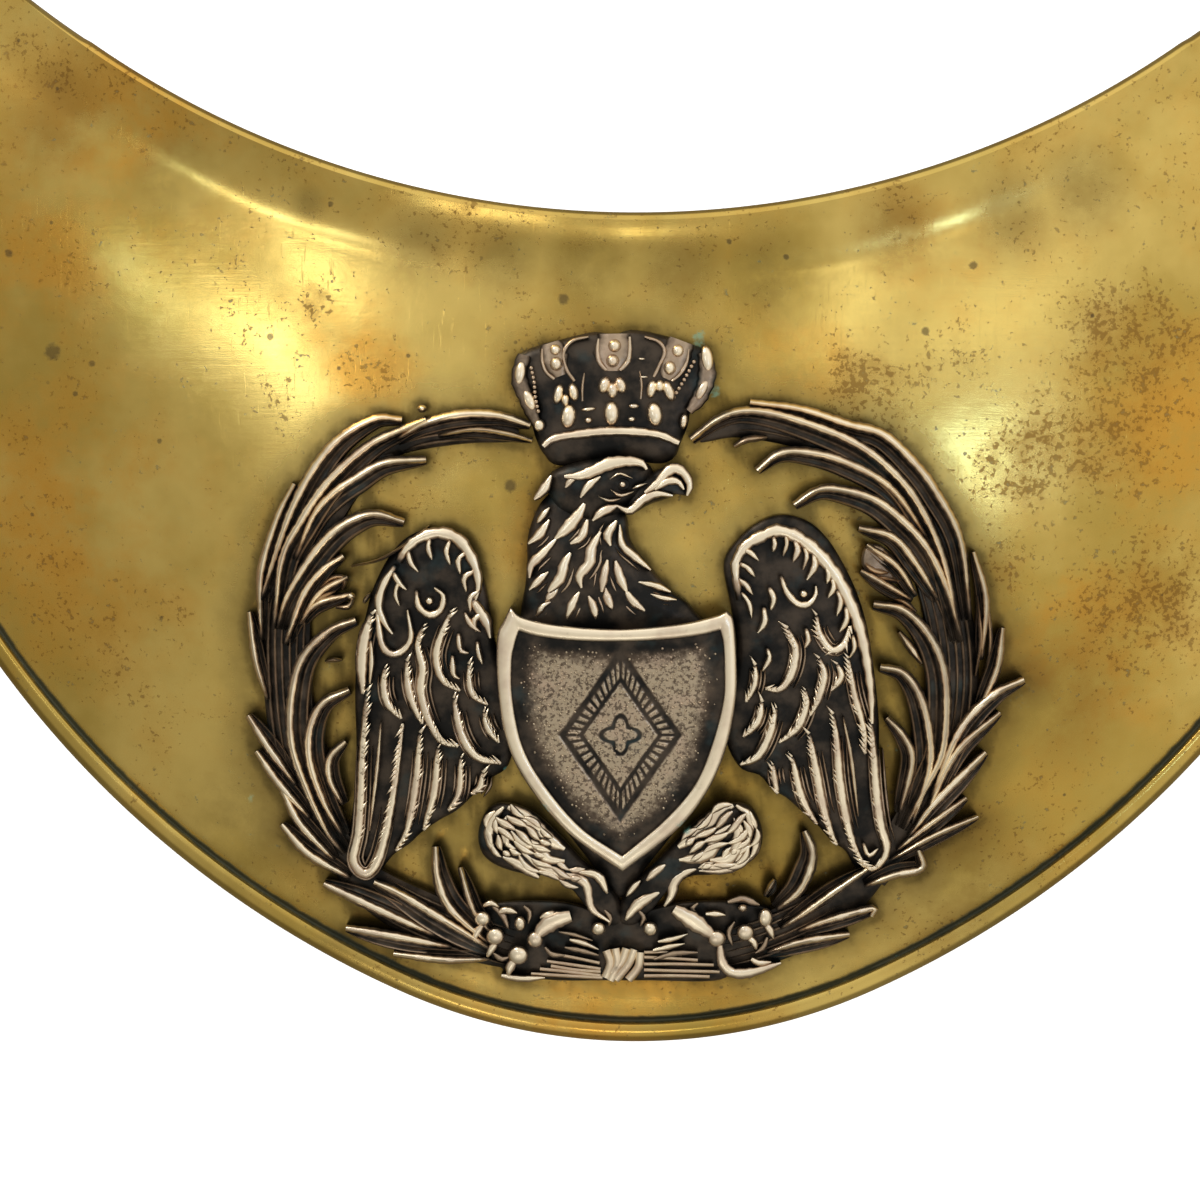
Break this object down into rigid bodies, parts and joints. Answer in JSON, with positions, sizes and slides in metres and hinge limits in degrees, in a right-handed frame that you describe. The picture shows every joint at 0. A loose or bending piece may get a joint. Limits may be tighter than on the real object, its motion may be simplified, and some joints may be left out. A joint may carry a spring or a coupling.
{
  "type": "gorget with an applied badge",
  "caption": "Crescent-shaped brass gorget plate, domed and bent round the neck, with a cord hole in each horn and an applied silver eagle badge in a leafy wreath.",
  "frame": {"origin": "middle of the underside of the whole object's box, on the surface that it rests on", "axes": "+X to the right in the picture, +Y towards the neck opening, +Z out of the plate's face"},
  "size_m": [0.1306, 0.0916, 0.0219],
  "materials": {
    "brass": "old brass, brushed by cleaning, with brown and orange tarnish",
    "silver": "oxidised silver, black in the hollows and bright on the ridges"
  },
  "bodies": {
    "root": {"plate": "brass", "wreath": "silver", "eagle": "silver", "crown": "silver", "shield": "silver"}
  },
  "joints": []
}
